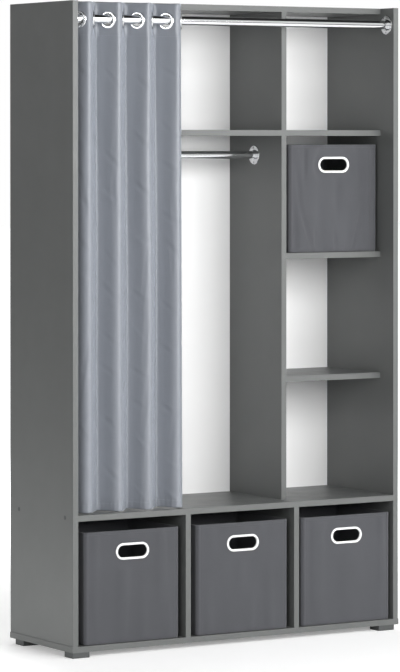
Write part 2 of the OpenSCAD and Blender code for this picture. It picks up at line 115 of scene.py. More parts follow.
# Shiny surfaces see a white surround, and above it a dim ceiling; sines of elevation, and levels
CEILING_FROM, CEILING_TO = 0.45, 0.62
SURROUND_LEVEL, CEILING_LEVEL = 0.8, 0.024


def ramp(tree, source, steps, levels, kind="SMOOTHSTEP"):
    """A number that goes from one level to the other as the source goes through steps."""
    made = tree.nodes.new("ShaderNodeMapRange")
    made.interpolation_type = kind
    sockets = ("From Min", "From Max", "To Min", "To Max")
    for socket, value in zip(sockets, steps + levels):
        made.inputs[socket].default_value = value
    tree.links.new(source, made.inputs["Value"])
    return made.outputs[0]


def make_world():
    """A plain white surround that the camera sees and that lights the object a little."""
    world = bpy.data.worlds.new("studio")
    bpy.context.scene.world = world
    world.use_nodes = True
    tree = world.node_tree
    tree.nodes.clear()
    out = tree.nodes.new("ShaderNodeOutputWorld")
    surround = tree.nodes.new("ShaderNodeBackground")
    surround.inputs["Color"].default_value = (1, 1, 1, 1)
    path = tree.nodes.new("ShaderNodeLightPath")
    where = tree.nodes.new("ShaderNodeTexCoord")
    parts = tree.nodes.new("ShaderNodeSeparateXYZ")
    tree.links.new(where.outputs["Generated"], parts.inputs[0])
    levels = (SURROUND_LEVEL, CEILING_LEVEL)
    ceiling = ramp(tree, parts.outputs["Z"], (CEILING_FROM, CEILING_TO), levels)
    strength = chosen(tree, path.outputs["Is Glossy Ray"], WORLD_LEVEL, ceiling)
    for ray in ("Is Camera Ray", "Is Transmission Ray"):
        strength = chosen(tree, path.outputs[ray], strength, 1.0)
    tree.links.new(strength, surround.inputs["Strength"])
    tree.links.new(surround.outputs[0], out.inputs["Surface"])


def chosen(tree, test, otherwise, value):
    """A number: the value where the test is 1, and otherwise the other. Each may be a socket."""
    mix = tree.nodes.new("ShaderNodeMix")
    tree.links.new(test, mix.inputs["Factor"])
    for socket, given in (("A", otherwise), ("B", value)):
        if isinstance(given, (int, float)):
            mix.inputs[socket].default_value = given
        else:
            tree.links.new(given, mix.inputs[socket])
    return mix.outputs["Result"]


# How far the floor reaches from its middle, its colour and its roughness
FLOOR_REACH, FLOOR_GREY, FLOOR_ROUGHNESS = 40, 0.9, 0.9
# The floor's glow to the camera, near and far off, and the distances between which it grows
GLOW_NEAR, GLOW_FAR = 0.3, 1.0
GLOW_FROM, GLOW_TO = 0.9, 3.0
# The floor's glow in shiny surfaces
GLOW_MIRROR = 0.1


def make_floor():
    """A white floor that keeps the object's shadow; far off its glow joins the white surround."""
    mesh = bpy.data.meshes.new("floor")
    turns = ((-1, -1), (1, -1), (1, 1), (-1, 1))
    corners = [(x * FLOOR_REACH, y * FLOOR_REACH, 0) for x, y in turns]
    mesh.from_pydata(corners, [], [(0, 1, 2, 3)])
    floor = placed("floor", mesh)
    material = bpy.data.materials.new("floor")
    material.use_nodes = True
    tree = material.node_tree
    shader = tree.nodes["Principled BSDF"]
    shader.inputs["Base Color"].default_value = (FLOOR_GREY, FLOOR_GREY, FLOOR_GREY, 1)
    shader.inputs["Roughness"].default_value = FLOOR_ROUGHNESS
    shader.inputs["Specular IOR Level"].default_value = 0.0
    shader.inputs["Emission Color"].default_value = (1, 1, 1, 1)
    where = tree.nodes.new("ShaderNodeTexCoord")
    distance = tree.nodes.new("ShaderNodeVectorMath")
    distance.operation = "LENGTH"
    path = tree.nodes.new("ShaderNodeLightPath")
    tree.links.new(where.outputs["Object"], distance.inputs[0])
    glow = ramp(tree, distance.outputs["Value"], (GLOW_FROM, GLOW_TO), (GLOW_NEAR, GLOW_FAR))
    strength = chosen(tree, path.outputs["Is Camera Ray"], 0.0, glow)
    for ray in ("Is Glossy Ray", "Is Transmission Ray"):
        strength = chosen(tree, path.outputs[ray], strength, GLOW_MIRROR)
    tree.links.new(strength, shader.inputs["Emission Strength"])
    mesh.materials.append(material)


# Name, place, point looked at, width, height, watts, and whether shiny surfaces show it
LAMPS = [
    ("key", (0.45, -4.3, 2.1), (0, 0, 1.1), 3.4, 2.4, 220, True),
    ("right", (3.6, -2.4, 1.8), (-0.3, 0, 1.1), 1.5, 1.8, 58, False),
    ("left", (-3.4, -2.9, 1.4), (0, 0, 1.0), 1.6, 1.6, 44, False),
    ("low_left", (-1.0, -0.12, 0.07), (-0.5, -0.1, 0.06), 0.5, 0.08, 0.6, True),
    ("rear", (1.4, 4.4, 2.8), (0, 0, 1.0), 2.5, 1.8, 170, True),
    ("low_rear", (-1.25, 0.5, 0.12), (-0.53, 0, 0.3), 0.5, 0.16, 2.4, False),
]

make_camera()
make_world()
make_floor()
for lamp_row in LAMPS:
    area_light(*lamp_row)
bpy.context.scene.view_settings.view_transform = "Standard"


# ---- materials ----

def linear(*levels):
    """A colour written as three levels from 0 to 255 on screen, for a shader (the sRGB curve)."""
    colour = []
    for level in levels:
        c = level / 255
        colour.append(c / 12.92 if c <= 0.04045 else ((c + 0.055) / 1.055) ** 2.4)
    return (*colour, 1.0)


# A noise's values lie mostly between these
NOISE_LOW, NOISE_HIGH = 0.3, 0.7


class Surface:
    """A principled material whose colour, roughness and bump are built up from noise."""

    def __init__(self, name, colour, roughness, uses_uv=False, **sockets):
        self.material = bpy.data.materials.new(name)
        self.material.use_nodes = True
        self.tree = self.material.node_tree
        self.shader = self.tree.nodes["Principled BSDF"]
        self.shader.inputs["Base Color"].default_value = colour
        self.shader.inputs["Roughness"].default_value = roughness
        for socket, value in sockets.items():
            self.shader.inputs[socket.replace("_", " ")].default_value = value
        where = self.tree.nodes.new("ShaderNodeTexCoord")
        self.where = where.outputs["UV" if uses_uv else "Object"]
        self.height = None
        self.colour = colour
        self.colour_from = None

    def node(self, kind, **values):
        """A new node, with values for its sockets and settings."""
        made = self.tree.nodes.new(kind)
        for name, value in values.items():
            if name in made.inputs:
                made.inputs[name].default_value = value
            else:
                setattr(made, name, value)
        return made

    def link(self, a, b):
        """Joins an output to an input."""
        self.tree.links.new(a, b)

    def stretched(self, scale):
        """The surface's coordinates, scaled by a different number along each axis."""
        mapping = self.node("ShaderNodeMapping")
        mapping.inputs["Scale"].default_value = scale
        self.link(self.where, mapping.inputs["Vector"])
        return mapping.outputs[0]

    def noise(self, scale, detail, stretch=(1, 1, 1)):
        """Noise with so many waves to a metre, times the stretch along each axis."""
        made = self.node("ShaderNodeTexNoise", Scale=scale, Detail=detail)
        self.link(self.stretched(stretch), made.inputs["Vector"])
        return made.outputs["Fac"]

    def weave(self, pitch_u, pitch_v):
        """Threads that cross, as the product of two waves along the first two coordinates."""
        parts = self.node("ShaderNodeSeparateXYZ")
        self.link(self.where, parts.inputs[0])
        product = self.node("ShaderNodeMath", operation="MULTIPLY")
        for axis, pitch in enumerate((pitch_u, pitch_v)):
            scaled = self.node("ShaderNodeMath", operation="MULTIPLY")
            scaled.inputs[1].default_value = 2 * math.pi / pitch
            wave = self.node("ShaderNodeMath", operation="SINE")
            self.link(parts.outputs[axis], scaled.inputs[0])
            self.link(scaled.outputs[0], wave.inputs[0])
            self.link(wave.outputs[0], product.inputs[axis])
        return product.outputs[0]

    def spread(self, noise, low, high):
        """Noise, given by what the method noise takes, stretched to lie between two values."""
        made = self.noise(*noise)
        return ramp(self.tree, made, (NOISE_LOW, NOISE_HIGH), (low, high), "LINEAR")

    def shade(self, noise, dark, light):
        """The colour varies between a darker and a lighter copy of itself, by noise."""
        tint = self.node("ShaderNodeVectorMath", operation="SCALE")
        if self.colour_from is None:
            tint.inputs[0].default_value = self.colour[:3]
        else:
            self.link(self.colour_from, tint.inputs[0])
        self.link(self.spread(noise, dark, light), tint.inputs["Scale"])
        self.colour_from = tint.outputs[0]
        self.link(self.colour_from, self.shader.inputs["Base Color"])

    def rough(self, noise, low, high):
        """The roughness varies between two values, by noise."""
        self.link(self.spread(noise, low, high), self.shader.inputs["Roughness"])

    def bump(self, factor, height):
        """Raises the surface by a texture, at most by a height in metres; bumps add up."""
        made = self.node("ShaderNodeBump", Distance=height, Strength=1.0)
        self.link(factor, made.inputs["Height"])
        if self.height is not None:
            self.link(self.height, made.inputs["Normal"])
        self.height = made.outputs[0]
        self.link(self.height, self.shader.inputs["Normal"])


def melamine():
    """Anthracite facing: fine pearl grain, a slightly uneven satin gloss, and faint clouding."""
    s = Surface("anthracite_melamine", linear(97, 99, 98), 0.42)
    s.shade((1100, 2), 0.97, 1.03)
    s.shade((5, 3), 0.985, 1.015)
    s.rough((14, 4), 0.38, 0.46)
    s.bump(s.noise(1400, 2), 0.00006)
    return s.material


def hardboard():
    """White lacquered hardboard with a very fine orange peel."""
    s = Surface("white_hardboard", linear(238, 238, 238), 0.45)
    s.shade((7, 3), 0.992, 1.008)
    s.rough((20, 3), 0.4, 0.5)
    s.bump(s.noise(500, 3), 0.00005)
    return s.material


def chrome(name, roughness):
    """Polished plating, a little uneven in gloss."""
    s = Surface(name, (0.86, 0.87, 0.88, 1), roughness, Metallic=1.0)
    s.rough((60, 4), roughness * 0.8, roughness * 1.3)
    s.bump(s.noise(300, 2), 0.00001)
    return s.material


def zinc():
    """Dull plating with cloudy spangle."""
    s = Surface("zinc_plate", (0.62, 0.62, 0.64, 1), 0.4, Metallic=0.85)
    s.shade((250, 4), 0.85, 1.1)
    s.rough((400, 3), 0.32, 0.5)
    s.bump(s.noise(900, 2), 0.00003)
    return s.material


def beech():
    """Pale wood with its grain along X."""
    s = Surface("beech", linear(214, 182, 138), 0.6)
    s.shade((60, 5, (1, 12, 12)), 0.85, 1.08)
    s.shade((900, 2), 0.95, 1.04)
    s.bump(s.noise(500, 3, (1, 6, 6)), 0.00008)
    return s.material


def plastic(name, colour, roughness, grain):
    """Moulded plastic; grain is how deep its fine texture is, in metres."""
    s = Surface(name, colour, roughness)
    s.shade((35, 3), 0.98, 1.02)
    s.rough((90, 3), roughness * 0.85, roughness * 1.15)
    s.bump(s.noise(1500, 2), grain)
    return s.material


def satin():
    """Satin weave: fine crossed threads, slubs along the warp and a soft sheen."""
    s = Surface("curtain_satin", linear(125, 129, 136), 0.4, uses_uv=True, Sheen_Weight=0.9,
                Sheen_Roughness=0.4, Sheen_Tint=linear(234, 240, 252), Specular_IOR_Level=0.6)
    s.shade((1, 3, (900, 25, 1)), 0.975, 1.025)
    s.shade((1, 3, (30, 500, 1)), 0.985, 1.015)
    s.bump(s.weave(0.0011, 0.0016), 0.00004)
    s.bump(s.noise(1, 3, (700, 60, 1)), 0.00006)
    return s.material


def thread(name, colour):
    """Twisted sewing thread, seen as fine mottling."""
    s = Surface(name, colour, 0.55)
    s.shade((2500, 2), 0.9, 1.08)
    s.bump(s.noise(3000, 2), 0.00005)
    return s.material


def felt(name, colour):
    """Pressed non-woven cloth: matted fibres, clouding and a faint sheen."""
    s = Surface(name, colour, 0.85, Sheen_Weight=0.2, Sheen_Roughness=0.5)
    s.shade((9, 3), 0.96, 1.04)
    s.shade((1300, 3), 0.93, 1.07)
    s.bump(s.noise(1600, 4), 0.0002)
    return s.material


MATERIALS = {
    "anthracite_board": melamine(),
    "white_hardboard": hardboard(),
    "grey_plastic": plastic("grey_plastic", linear(70, 72, 72), 0.5, 0.00008),
    "chrome": chrome("chrome", 0.08),
    "ring_chrome": chrome("ring_chrome", 0.12),
    "beech": beech(),
    "zinc": zinc(),
    "curtain_satin": satin(),
    "bin_fabric": felt("bin_felt", linear(70, 71, 75)),
    "bin_card": felt("bin_card_felt", linear(68, 69, 73)),
    "handle_white": plastic("handle_white", linear(236, 236, 236), 0.3, 0.00003),
}
THREAD = thread("curtain_thread", linear(150, 154, 163))


# Slots whose pieces get rounded edges; corners sharper than the angle are rounded
EDGE_RADIUS = {"anthracite_board": 0.5 * MM, "handle_white": 0.8 * MM, "grey_plastic": 0.6 * MM}
EDGE_ANGLE = math.radians(50)
EDGE_STEPS = 2
# Points of a CAD mesh that are closer than this are one
ONE_POINT = 0.01 * MM


def dress_cad_nodes():
    """Gives every CAD node its slot's material, and rounds sharp edges a little."""
    slot_of = {part["node"]: part["material_slot"] for part in frame["record"]["subparts"]}
    for name, piece in nodes.items():
        slot = slot_of[name]
        piece.data.materials.clear()
        piece.data.materials.append(MATERIALS[slot])
        if slot in EDGE_RADIUS:
            round_edges(piece, EDGE_RADIUS[slot])


def round_edges(piece, radius):
    """Joins a mesh's doubled points and bevels its sharp edges."""
    weld = piece.modifiers.new("weld", "WELD")
    weld.merge_threshold = ONE_POINT
    bevel = piece.modifiers.new("round_edges", "BEVEL")
    bevel.width = radius
    bevel.segments = EDGE_STEPS
    bevel.limit_method = "ANGLE"
    bevel.angle_limit = EDGE_ANGLE
    bevel.harden_normals = True


dress_cad_nodes()


# ---- a sheet with thickness and holes ----

# Bands of faces between a patch's border and its hole
HOLE_BANDS = 3


class Skin:
    """A grid of quads over a flat pattern (s, h), in which each rectangular patch holds a hole.

    points are the pattern's (s, h), quads index them. A wrapped skin's last column is its first."""

    def __init__(self, s_lines, h_lines, patches, wrapped=False):
        self.s_lines, self.h_lines = s_lines, h_lines
        self.wrapped = wrapped
        self.index = {}
        self.points = []
        self.quads = []
        taken = set()
        for i0, i1, j0, j1, _ in patches:
            taken |= {(i, j) for i in range(i0, i1) for j in range(j0, j1)}
        for j in range(len(h_lines) - 1):
            for i in range(len(s_lines) - 1):
                if (i, j) not in taken:
                    around = ((i, j), (i + 1, j), (i + 1, j + 1), (i, j + 1))
                    self.quads.append([self.at(*corner) for corner in around])
        for patch in patches:
            self.fill(*patch)

    def at(self, i, j):
        """The number of the point at a column and row, made when it is first asked for."""
        if self.wrapped and i == len(self.s_lines) - 1:
            i = 0
        if (i, j) not in self.index:
            self.index[i, j] = len(self.points)
            self.points.append((self.s_lines[i], self.h_lines[j]))
        return self.index[i, j]

    def fill(self, i0, i1, j0, j1, outline):
        """Quads from a patch's border to its hole; outline gives the hole's point at an angle."""
        around = [(i, j0) for i in range(i0, i1)] + [(i1, j) for j in range(j0, j1)]
        around += [(i, j1) for i in range(i1, i0, -1)] + [(i0, j) for j in range(j1, j0, -1)]
        outer = previous = [self.at(i, j) for i, j in around]
        border = [self.points[n] for n in outer]
        centre_s = (self.s_lines[i0] + self.s_lines[i1]) / 2
        centre_h = (self.h_lines[j0] + self.h_lines[j1]) / 2
        turns = [math.atan2(h - centre_h, s - centre_s) for s, h in border]
        ends = [outline((centre_s, centre_h), turn) for turn in turns]
        for band in range(1, HOLE_BANDS + 1):
            t = band / HOLE_BANDS
            current = []
            for (s, h), end in zip(border, ends):
                current.append(len(self.points))
                self.points.append((s + (end[0] - s) * t, h + (end[1] - h) * t))
            for k in range(len(outer)):
                after = (k + 1) % len(outer)
                self.quads.append([previous[k], previous[after], current[after], current[k]])
            previous = current


def slot_outline(width, height):
    """A slot with half-round ends, or a round hole, met by a ray from its middle."""
    half, r = (width - height) / 2, height / 2

    def outline(centre, angle):
        c, s = math.cos(angle), math.sin(angle)
        if abs(s) > 1e-9 and abs(r / abs(s) * c) <= half:
            reach = r / abs(s)
        else:
            m = half * abs(c)
            reach = m + math.sqrt(max(m * m - half * half + r * r, 0))
        return centre[0] + reach * c, centre[1] + reach * s

    return outline


def smooth_mesh(name, points, faces):
    """A new mesh that is shaded smoothly."""
    mesh = bpy.data.meshes.new(name)
    mesh.from_pydata(points, [], faces)
    mesh.polygons.foreach_set("use_smooth", [True] * len(mesh.polygons))
    mesh.update()
    return mesh


def two_faced(name, skin, front, back, uv=None, caps=()):
    """A closed mesh from a skin: front and back faces, joined along the outer edges and the holes.

    caps are chains of points that are closed with a flat face on either side, and not joined."""
    count = len(skin.points)
    faces = [list(q) for q in skin.quads] + [[n + count for n in reversed(q)] for q in skin.quads]
    capped = set()
    for chain in caps:
        faces += [list(reversed(chain)), [n + count for n in chain]]
        capped |= set(zip(chain, chain[1:] + chain[:1]))
    sides = {}
    for q in skin.quads:
        for a, b in zip(q, q[1:] + q[:1]):
            sides[a, b] = sides.get((a, b), 0) + 1
    for a, b in sides:
        if (b, a) not in sides and (a, b) not in capped:
            faces.append([b, a, a + count, b + count])
    mesh = smooth_mesh(name, np.vstack([front, back]).tolist(), faces)
    if uv is not None:
        layer = mesh.uv_layers.new(name="pattern")
        both = np.vstack([uv, uv])
        corner = np.zeros(len(mesh.loops), np.int32)
        mesh.loops.foreach_get("vertex_index", corner)
        layer.data.foreach_set("uv", both[corner].astype(np.float32).ravel())
    mesh.validate()
    return placed(name, mesh)


# Stitches: their distance along a seam, length, and distance from the edge of what they hold
STITCH_PITCH, STITCH, STITCH_IN = 4.2 * MM, 3 * MM, 2.5 * MM
# How far from the cloth's edges a row of stitches starts and ends
FIRST_STITCH, LAST_STITCH = 4 * MM, 5 * MM
THREAD_R, THREAD_SIDES = 0.28 * MM, 6
# Along a stitch: where, how thick in thread radii, and how high its middle is above the cloth
STITCH_SHAPE = [(0.0, 0.35, -0.25 * MM), (0.25, 0.9, 0.12 * MM), (0.5, 1.0, 0.2 * MM),
                (0.75, 0.9, 0.12 * MM), (1.0, 0.35, -0.25 * MM)]
# Small steps off the cloth and along a stitch, which give its directions
STEP_OUT, STEP_ALONG = 0.1 * MM, 0.01


def stitched(name, ends, surfaces, material):
    """Short threads that dip in at both ends; a surface turns (s, h, lift) into points."""
    a, b = [np.array(side) for side in zip(*ends)]
    points, faces = [], []
    for surface in surfaces:
        rings = []
        for t, thick, rise in STITCH_SHAPE:
            flat = a + (b - a) * t
            ahead = flat + (b - a) * STEP_ALONG
            middle = surface(*flat.T, rise)
            out = unit(surface(*flat.T, rise + STEP_OUT) - middle)
            along = unit(surface(*ahead.T, rise) - middle)
            across = np.cross(along, out)
            turns = [2 * math.pi * n / THREAD_SIDES for n in range(THREAD_SIDES)]
            sides = [math.cos(w) * across + math.sin(w) * out for w in turns]
            rings.append(np.stack([middle + THREAD_R * thick * side for side in sides], 1))
        for one in np.stack(rings, 1):
            start = len(points)
            points += one.reshape(-1, 3).tolist()
            faces += tube_faces(start, len(STITCH_SHAPE), THREAD_SIDES)
    mesh = smooth_mesh(name, points, faces)
    mesh.materials.append(material)
    return placed(name, mesh)


def tube_faces(start, rings, sides):
    """Faces of a closed tube whose rings of points follow each other from a first index."""
    faces = []
    for r in range(rings - 1):
        low, high = start + r * sides, start + (r + 1) * sides
        for n in range(sides):
            m = (n + 1) % sides
            faces.append([low + n, low + m, high + m, high + n])
    last = start + (rings - 1) * sides
    return faces + [[start + n for n in reversed(range(sides))], [last + n for n in range(sides)]]


def unit(vectors):
    """Rows of a table of vectors, each made one long."""
    return vectors / np.linalg.norm(vectors, axis=1)[:, None]


def spaced(start, stop, step):
    """Even lines from start to stop, near a step apart, without the last."""
    count = max(1, round(abs(stop - start) / step))
    return list(np.linspace(start, stop, count + 1)[:-1])


def smooth(x):
    """A step from 0 to 1 with soft ends, as x goes from 0 to 1."""
    x = np.clip(x, 0, 1)
    return x * x * (3 - 2 * x)


# ---- curtain ----

RING_COUNT = 8
ring_boxes = [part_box(f"curtain_ring_{k + 1}") for k in range(RING_COUNT)]
ring_x = [(lo.x + hi.x) / 2 for lo, hi in ring_boxes]
ring_z = (ring_boxes[0][0].z + ring_boxes[0][1].z) / 2
rod_lo, rod_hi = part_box("curtain_rod")
rod_y = (rod_lo.y + rod_hi.y) / 2
cloth_lo, cloth_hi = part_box("curtain_cloth")
hem_z = cloth_lo.z

# Cloth from one ring to the next, and beyond the end rings
CLOTH_PITCH, CLOTH_END = 72 * MM, 26 * MM
cloth_w = 2 * CLOTH_END + (RING_COUNT - 1) * CLOTH_PITCH
cloth_h = cloth_hi.z - hem_z
# The folds from above: millimetres along the cloth from a ring's middle, and its angle towards the
# front there, in degrees; for a flank that comes forward to the right, and for one that goes back
AT_RINGS = ([(-24, 59), (24, 59), (32, 0)], [(-24, -59), (24, -59), (36, 0)])
BELOW_RINGS = ([(-34, 42), (2, 59), (23, 52), (32, 0)], [(-34, -48), (34, -48), (36, 0)])
FURTHER_DOWN = ([(-33, 36), (-10, 59), (6, 60), (18, 46), (32, 0)],
                [(-31, -47), (33, -47), (36, 0)])
# Away from the rings' height the folds take their own shape: from where, and over what height
FREE_FROM, FREE_OVER = 24 * MM, 30 * MM
# Below the rings they change further: from where, over what height, and blurred over how many
# steps along the cloth
SETTLE_FROM, SETTLE_OVER = 45 * MM, 420 * MM
SETTLE_BLUR = 3.5
LEAST_BLUR = 0.3
# How far the cloth's free end beyond the last ring turns back
END_CURL = math.radians(40)
# How much wider the curtain grows downwards on either side, and over how many of its heights
FLARE, FLARE_OVER = 2 * MM, 1.25
# Slow waves by which the folds wander below the rings: width and height in metres, phase, size
DRIFTS = [(0.31, 1.9, 0.4, 0.02), (0.17, -1.3, 2.1, 0.02),
          (0.093, 0.9, 4.0, 0.018), (0.22, 0.75, 1.2, 0.012)]
# The cloth's line is worked out in steps along it and at this many heights
STEP_S = 1 * MM
DRAPE_ROWS = 230
# The bends are scaled by a number between these, found by halving the range so often
GAIN_LOW, GAIN_HIGH = 0.6, 1.5
GAIN_HALVINGS = 24
# Looking up the line stops this many cells before its end, and steps this far for its direction
LAST_CELL = 1.001
ASIDE = 0.5 * MM

# Cloth, single and double, and the widths of the hem, the head and the side hems
CLOTH_T, HEM_T = 0.9 * MM, 1.3 * MM
HEM_H = 22 * MM
HEAD_H = 92 * MM
SIDE_HEM = 16 * MM
# How deep and how wide a seam pinches the cloth
PINCH = 0.5 * MM
PINCH_HALF_WIDTH = 1.3 * MM
# The hem's puckers: depth, height and half height, distance, and a slower wave that spaces them
PUCKER = 0.5 * MM
PUCKER_H, PUCKER_HALF = 0.5 * HEM_H, 0.7 * HEM_H
PUCKER_PITCH, PUCKER_DRIFT = 13 * MM, 31 * MM
# The holes' edges lie under the rings' rims, with room for the cloth to turn; each hole is cut in
# a square patch of the grid
HOLE_R = 22.4 * MM
PATCH = 24.4 * MM
# Distances between the grid's lines: in the patches, between them, at the free ends; near the hem,
# further up, below the rings and above them
GRID_PATCH, GRID_FOLD, GRID_END = 3.67 * MM, 1.5 * MM, 2 * MM
GRID_HEM, GRID_DOWN, GRID_BELOW, GRID_ABOVE = 2 * MM, 5 * MM, 3 * MM, 2.8 * MM
# How far the close lines reach above the hem's seam and below the rings' middles
NEAR_HEM, NEAR_RINGS = 10 * MM, 60 * MM


def heading(s, flanks):
    """Direction of the cloth along the rod, seen from above: its angle towards the front."""
    places, turns = [], []
    for k in range(RING_COUNT):
        for away, turn in flanks[k % 2]:
            places.append(CLOTH_END + k * CLOTH_PITCH + away * MM)
            turns.append(math.radians(turn))
    return np.interp(s, places, turns)


def blurred(values, sigma):
    """Values along the cloth, smoothed over a width in steps."""
    if sigma < LEAST_BLUR:
        return values
    reach = int(4 * sigma) + 1
    kernel = np.exp(-0.5 * (np.arange(-reach, reach + 1) / sigma) ** 2)
    padded = np.pad(values, reach, mode="edge")
    return np.convolve(padded, kernel / kernel.sum(), mode="valid")


def fold_drift(s, drop):
    """How the folds wander below the rings, as a slow change of the cloth's direction."""
    total = np.zeros_like(s)
    for wide, tall, phase, size in DRIFTS:
        total += size * np.sin(2 * math.pi * (s / wide + drop / tall) + phase)
    return total


class Drape:
    """Where a point of the flat pattern hangs. s runs along the rod, h up from the hem."""

    def __init__(self):
        self.s = np.arange(0, cloth_w + STEP_S, STEP_S)
        self.h = np.linspace(0, cloth_h, DRAPE_ROWS)
        at_rings = heading(self.s, AT_RINGS)
        below_rings = heading(self.s, BELOW_RINGS)
        further_down = heading(self.s, FURTHER_DOWN)
        rows = []
        for h in self.h:
            below = ring_z - hem_z - h
            drop = max(0.0, below - SETTLE_FROM)
            slack = float(smooth(drop / SETTLE_OVER))
            freed = float(smooth((abs(below) - FREE_FROM) / FREE_OVER))
            hanging = below_rings + (further_down - below_rings) * slack
            turn = blurred(at_rings + (hanging - at_rings) * freed, SETTLE_BLUR * slack)
            turn -= freed * END_CURL * smooth((self.s - cloth_w) / (2 * CLOTH_END) + 1)
            turn = turn + slack * fold_drift(self.s, drop) * np.cos(turn)
            rows.append(self.row(turn, drop))
        self.x, self.y = [np.array(lines) for lines in zip(*rows)]

    def row(self, turn, drop):
        """The cloth's line at one height, its bends scaled so that it is as wide as the rings."""
        first = np.searchsorted(self.s, CLOTH_END)
        last = np.searchsorted(self.s, CLOTH_END + (RING_COUNT - 1) * CLOTH_PITCH)
        wanted = ring_x[-1] - ring_x[0] + FLARE * float(smooth(drop / (FLARE_OVER * cloth_h))) * 2
        low, high = GAIN_LOW, GAIN_HIGH
        for _ in range(GAIN_HALVINGS):
            gain = (low + high) / 2
            if np.cos(turn[first:last] * gain).sum() * STEP_S > wanted:
                low = gain
            else:
                high = gain
        turn = turn * gain
        slopes = (np.cos(turn), -np.sin(turn))
        x, y = [np.append(0, np.cumsum((a[1:] + a[:-1]) / 2 * STEP_S)) for a in slopes]
        x += ring_x[0] - x[first]
        lean = (y[last] - y[first]) / (self.s[last] - self.s[first])
        y += rod_y - y[first] - lean * (self.s - self.s[first])
        return x, y

    def plan(self, s, h):
        """x and y of pattern points, between the rows and columns that were worked out."""
        a = np.clip(s / STEP_S, 0, len(self.s) - LAST_CELL)
        b = np.clip(h / cloth_h * (len(self.h) - 1), 0, len(self.h) - LAST_CELL)
        i, j = a.astype(int), b.astype(int)
        fa, fb = a - i, b - j
        found = []
        for table in (self.x, self.y):
            low = table[j, i] * (1 - fa) + table[j, i + 1] * fa
            high = table[j + 1, i] * (1 - fa) + table[j + 1, i + 1] * fa
            found.append(low * (1 - fb) + high * fb)
        return found

    def place(self, s, h, lift):
        """Points that stand a distance off the cloth's middle, on its front side."""
        s, h = np.asarray(s, float), np.asarray(h, float)
        x, y = self.plan(s, h)
        x2, y2 = self.plan(s + ASIDE, h)
        x1, y1 = self.plan(s - ASIDE, h)
        tx, ty = x2 - x1, y2 - y1
        size = np.hypot(tx, ty)
        lift = lift + creases(s, h)
        return np.column_stack([x + ty / size * lift, y - tx / size * lift, hem_z + h])


# Drag lines across a flank: their first height and the highest in cloth heights, the distances
# between them, slant in degrees, depths, half length, half width, and place from the ring's middle
CROSS_FIRST, CROSS_HIGHEST = (0.02, 0.09), 0.9
CROSS_GAP = (75, 165)
CROSS_SLANT = (38, 62)
CROSS_DEPTHS, CROSS_DEPTH_SHARE = [-1.3, -1.0, 0.9], (0.7, 1.1)
CROSS_LENGTH, CROSS_WIDTH, CROSS_AT = (20, 34), (4.5, 7), (-10, 12)
# Drag lines that run up beside a fold: how many for each, and the same values
BESIDE_COUNT = 3
BESIDE_HEIGHT = (0.1, 0.8)
BESIDE_SLANT = (-9, 9)
BESIDE_DEPTH = (-1.0, -0.6)
BESIDE_LENGTH, BESIDE_WIDTH, BESIDE_AT = (50, 85), (4.5, 6.5), (12, 22)
CREASE_SEED = 11


def make_creases():
    """Drag lines: middle on the pattern, slant from upright, half length, half width and depth.

    Most cross a flank on a slant, down towards the fold in front, and some run up beside a fold."""
    rng = np.random.default_rng(CREASE_SEED)
    made = []
    for k in range(RING_COUNT):
        side = -1 if k % 2 == 0 else 1
        flank = CLOTH_END + k * CLOTH_PITCH
        h = rng.uniform(*CROSS_FIRST) * cloth_h
        while h < CROSS_HIGHEST * cloth_h:
            slant = side * math.radians(rng.uniform(*CROSS_SLANT))
            depth = rng.choice(CROSS_DEPTHS) * rng.uniform(*CROSS_DEPTH_SHARE) * MM
            at = flank + rng.uniform(*CROSS_AT) * MM
            length = rng.uniform(*CROSS_LENGTH) * MM
            width = rng.uniform(*CROSS_WIDTH) * MM
            made.append((at, h, slant, length, width, depth))
            h += rng.uniform(*CROSS_GAP) * MM
        for _ in range(BESIDE_COUNT):
            at = flank + rng.uniform(*BESIDE_AT) * MM
            height = rng.uniform(*BESIDE_HEIGHT) * cloth_h
            slant = math.radians(rng.uniform(*BESIDE_SLANT))
            length = rng.uniform(*BESIDE_LENGTH) * MM
            width = rng.uniform(*BESIDE_WIDTH) * MM
            depth = rng.uniform(*BESIDE_DEPTH) * MM
            made.append((at, height, slant, length, width, depth))
    return made


CREASES = make_creases()
# A drag line has a shallower ridge beside it: how many half widths away, and its share of the depth
CREASE_RIDGE, RIDGE_SHARE = 1.7, 0.5


def creases(s, h):
    """How far the drag lines and the hems' puckers push the cloth out."""
    total = np.zeros_like(s)
    for at_s, at_h, slant, length, width, depth in CREASES:
        along = (s - at_s) * math.sin(slant) + (h - at_h) * math.cos(slant)
        across = ((s - at_s) * math.cos(slant) - (h - at_h) * math.sin(slant)) / width
        ridge = RIDGE_SHARE * np.exp(-((across - CREASE_RIDGE) ** 2))
        total += depth * np.exp(-((along / length) ** 2)) * (np.exp(-(across ** 2)) - ridge)
    at_hem = np.exp(-(((h - PUCKER_H) / PUCKER_HALF) ** 2))
    total += at_hem * PUCKER * np.sin(2 * math.pi * s / PUCKER_PITCH + 2 * np.sin(s / PUCKER_DRIFT))
    return total


# The seams' places on the pattern: heights, and distances along it
LEVEL_SEAMS = (HEM_H - STITCH_IN, cloth_h - HEAD_H + STITCH_IN)
UPRIGHT_SEAMS = (SIDE_HEM - STITCH_IN, cloth_w - SIDE_HEM + STITCH_IN)


def pinch(distance):
    """How much a seam thins the cloth at a distance from it."""
    return PINCH * np.exp(-((distance / PINCH_HALF_WIDTH) ** 2))


def thickness(s, h):
    """The cloth is double at its hems and head, and pinched along their stitches."""
    hem = (h < HEM_H) | (h > cloth_h - HEAD_H) | (s < SIDE_HEM) | (s > cloth_w - SIDE_HEM)
    t = np.where(hem, HEM_T, CLOTH_T)
    for line in LEVEL_SEAMS:
        t = t - pinch(h - line)
    for line in UPRIGHT_SEAMS:
        t = t - pinch(s - line)
    return t


